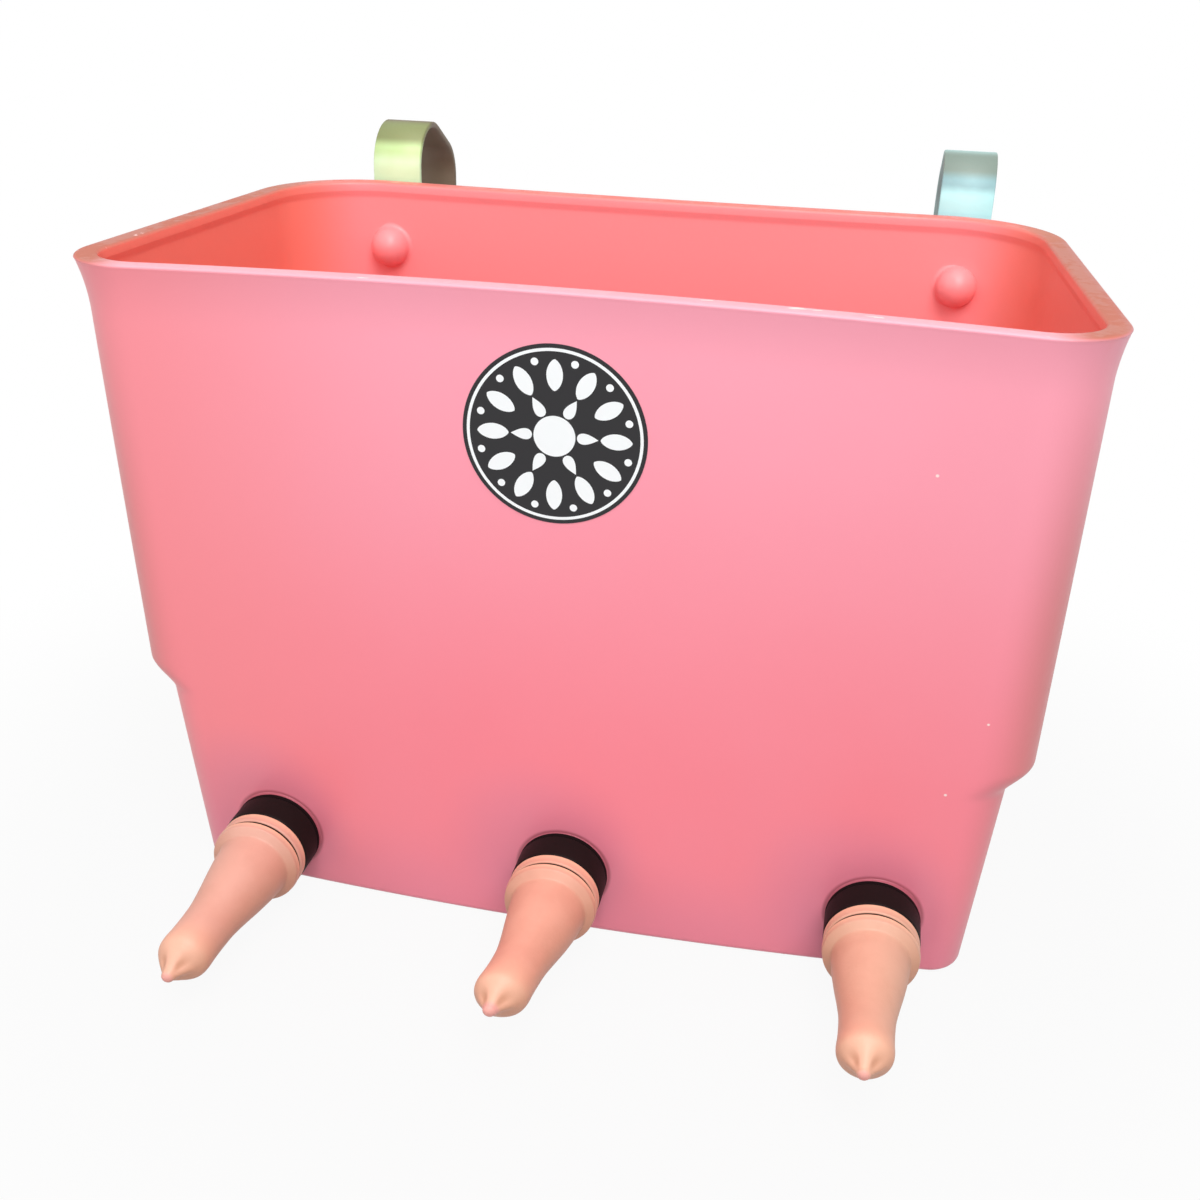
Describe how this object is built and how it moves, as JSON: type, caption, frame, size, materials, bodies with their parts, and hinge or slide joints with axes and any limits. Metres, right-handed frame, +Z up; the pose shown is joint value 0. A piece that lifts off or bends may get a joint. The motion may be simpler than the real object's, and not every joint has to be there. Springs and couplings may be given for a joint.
{
  "type": "calf feeder bucket",
  "caption": "Hook-over calf feeder: deep moulded tub on two bent steel rail hooks, with rubber teats in non-return fittings low on the front wall.",
  "frame": {"origin": "on the flat base, under the middle of the rim", "axes": "+Z up, -Y towards the teats, +Y towards the gate rail, +X to the right seen from the calf's side"},
  "size_m": [0.4, 0.3634, 0.3235],
  "materials": {
    "tub": "translucent pink polyethylene, soft gloss",
    "hook_steel": "bright zinc plate",
    "bolt_steel": "zinc plate",
    "insert_brass": "turned brass",
    "fitting_black": "black moulded plastic, satin",
    "seal_rubber": "black rubber",
    "valve_white": "natural moulded plastic",
    "ball_white": "smooth white plastic ball",
    "teat_rubber": "soft peach rubber, satin"
  },
  "bodies": {
    "feeder": {"tub": "tub", "hook_left": "hook_steel", "hook_bolt_left": "bolt_steel", "hook_washer_left": "bolt_steel", "insert_left": "insert_brass", "hook_right": "hook_steel", "hook_bolt_right": "bolt_steel", "hook_washer_right": "bolt_steel", "insert_right": "insert_brass", "collar_left": "fitting_black", "seal_washer_left": "seal_rubber", "back_nut_left": "fitting_black", "valve_seat_left": "valve_white", "teat_left": "teat_rubber", "collar_middle": "fitting_black", "seal_washer_middle": "seal_rubber", "back_nut_middle": "fitting_black", "valve_seat_middle": "valve_white", "teat_middle": "teat_rubber", "collar_right": "fitting_black", "seal_washer_right": "seal_rubber", "back_nut_right": "fitting_black", "valve_seat_right": "valve_white", "teat_right": "teat_rubber"},
    "ball_left": {"valve_ball_left": "ball_white"},
    "ball_middle": {"valve_ball_middle": "ball_white"},
    "ball_right": {"valve_ball_right": "ball_white"}
  },
  "joints": [
    {"name": "ball_slide_left", "type": "slide", "parent": "feeder", "child": "ball_left", "axis": [0, -1, 0], "range_m": [0, 0.0035]},
    {"name": "ball_slide_middle", "type": "slide", "parent": "feeder", "child": "ball_middle", "axis": [0, -1, 0], "range_m": [0, 0.0035]},
    {"name": "ball_slide_right", "type": "slide", "parent": "feeder", "child": "ball_right", "axis": [0, -1, 0], "range_m": [0, 0.0035]}
  ]
}
